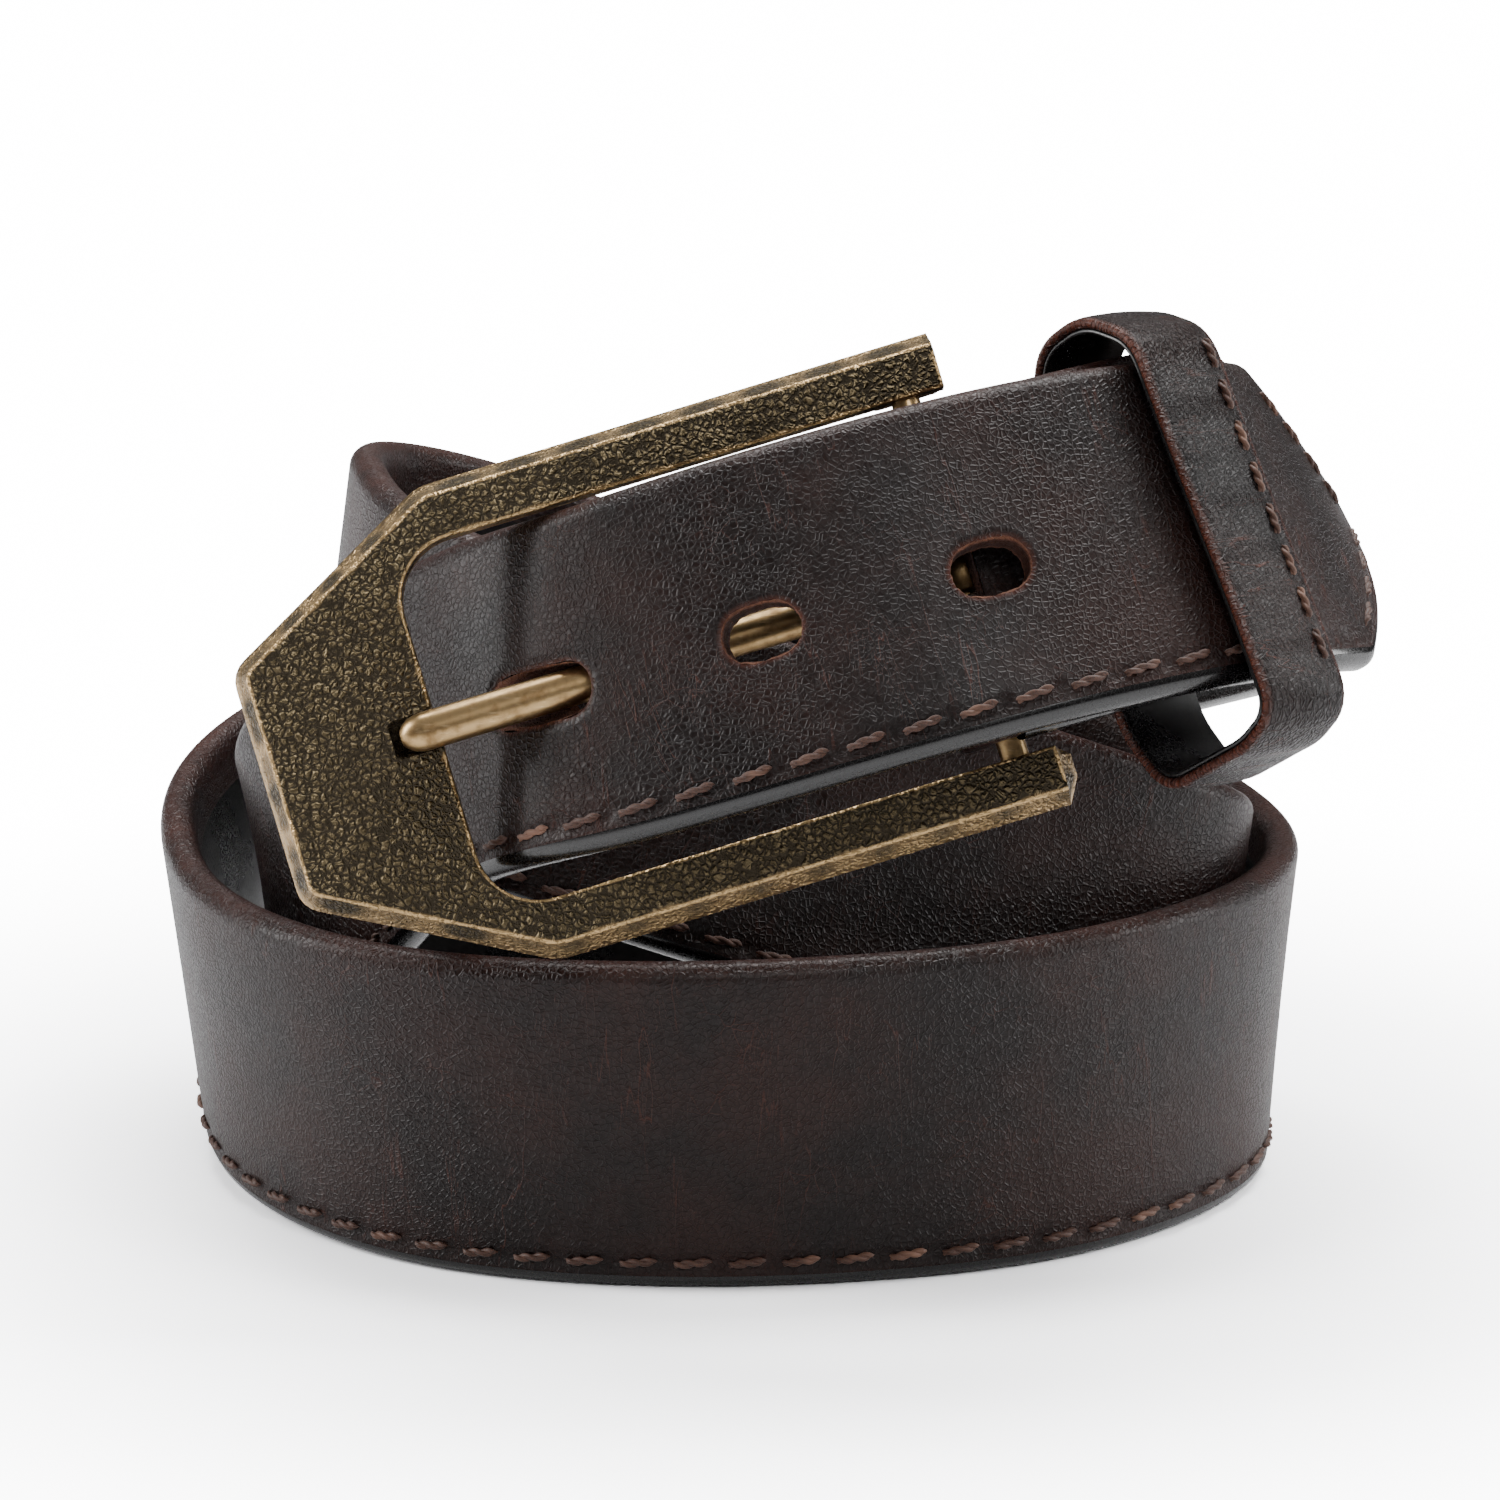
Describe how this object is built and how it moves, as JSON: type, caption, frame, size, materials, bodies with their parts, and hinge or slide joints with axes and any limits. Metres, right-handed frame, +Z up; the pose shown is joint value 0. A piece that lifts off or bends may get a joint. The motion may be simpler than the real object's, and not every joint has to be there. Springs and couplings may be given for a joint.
{
  "type": "leather belt",
  "caption": "Coiled and buckled leather dress belt with an open-sided textured brass buckle, a single tongue, a keeper loop and a pointed tip.",
  "frame": {"origin": "centre of the bounding box on the plane the belt rests on", "axes": "+Z up, -Y is the front with the buckle, +X to the right of that front"},
  "size_m": [0.141, 0.1337, 0.1079],
  "materials": {
    "cover_leather": "waxed, worn to red-brown on the edges",
    "core_leather": "raw fibre",
    "lining_leather": "smooth and glossy",
    "edge_paint": "glossy edge dressing",
    "thread": "waxed thread",
    "aged_brass": "cast pebble texture, rubbed bright on the ridges and edges",
    "plain_brass": "plain turned",
    "satin_brass": "satin"
  },
  "bodies": {
    "strap": {"strap_cover": "cover_leather", "strap_core": "core_leather", "strap_lining": "lining_leather", "strap_edge_paint": "edge_paint", "strap_seam_thread": "thread", "tip_point_thread": "thread", "fold_wrap": "cover_leather", "fold_return": "cover_leather", "fold_thread": "thread", "keeper_cover": "cover_leather", "keeper_lining": "lining_leather", "keeper_thread": "thread"},
    "buckle": {"buckle_frame": "aged_brass", "heel_bar": "plain_brass"},
    "tongue": {"tongue": "satin_brass"}
  },
  "joints": [
    {"name": "buckle_on_fold", "type": "hinge", "parent": "strap", "child": "buckle", "pos_m": [0.02316, -0.04467, 0.08042], "axis": [-0.2913, 0.2878, 0.9123], "range_deg": [-1, 0]},
    {"name": "tongue_on_bar", "type": "hinge", "parent": "strap", "child": "tongue", "pos_m": [0.02316, -0.04467, 0.08042], "axis": [-0.2913, 0.2878, 0.9123], "range_deg": [0, 2]}
  ]
}
